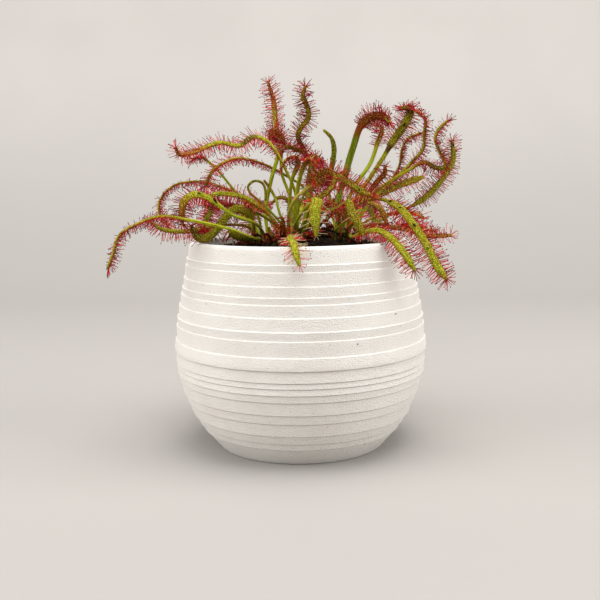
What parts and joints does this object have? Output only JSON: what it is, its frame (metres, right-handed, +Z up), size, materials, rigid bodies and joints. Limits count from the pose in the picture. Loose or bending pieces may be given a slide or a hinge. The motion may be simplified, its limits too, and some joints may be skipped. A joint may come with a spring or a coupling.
{
  "type": "potted sundew",
  "caption": "Carnivorous sundew plant with strap leaves and sticky tentacles, growing in soil in a round white pot with turned steps.",
  "frame": {"origin": "middle of the pot's flat base", "axes": "+Z up along the pot's axis, -Y towards the side the picture shows, +X to that side's right"},
  "size_m": [0.1241, 0.0974, 0.1338],
  "materials": {
    "pot_white": "matte",
    "soil": "matte",
    "leaf": "satin"
  },
  "bodies": {
    "root": {"pot": "pot_white", "soil": "soil", "leaf_left_hook": "leaf", "leaf_left_thin": "leaf", "leaf_left_high": "leaf", "leaf_left_bow": "leaf", "leaf_left_low": "leaf", "leaf_left_fold": "leaf", "leaf_left_rim": "leaf", "leaf_left_claw": "leaf", "leaf_left_bright": "leaf", "leaf_left_small": "leaf", "leaf_left_trailing": "leaf", "leaf_bare_loop": "leaf", "leaf_bare_stalk": "leaf", "leaf_tall_spire": "leaf", "leaf_curled_fist": "leaf", "leaf_bridge": "leaf", "leaf_tall_wave": "leaf", "leaf_small_arch": "leaf", "leaf_front_tall": "leaf", "leaf_front_dark": "leaf", "leaf_front_broad": "leaf", "leaf_green_horn": "leaf", "leaf_crook": "leaf", "leaf_under_crook": "leaf", "leaf_right_folded": "leaf", "leaf_right_ear": "leaf", "leaf_right_hoop": "leaf", "leaf_right_zigzag": "leaf", "leaf_right_sickle": "leaf", "leaf_right_back": "leaf", "leaf_right_tuft": "leaf", "leaf_front_dotted": "leaf", "leaf_right_long": "leaf", "leaf_right_rim": "leaf", "leaf_right_strap": "leaf", "leaf_right_curl": "leaf", "leaf_front_curl": "leaf", "leaf_front_strap": "leaf", "leaf_front_tongue": "leaf", "leaf_right_end": "leaf", "leaf_right_brown": "leaf", "leaf_right_red": "leaf", "leaf_right_young": "leaf", "leaf_heart_curl": "leaf", "leaf_inner_curl": "leaf", "leaf_sprout_red": "leaf", "leaf_sprout_green": "leaf", "leaf_back_left": "leaf", "leaf_back_middle_left": "leaf", "leaf_back_middle": "leaf", "leaf_back_middle_right": "leaf", "leaf_back_right": "leaf"}
  },
  "joints": []
}
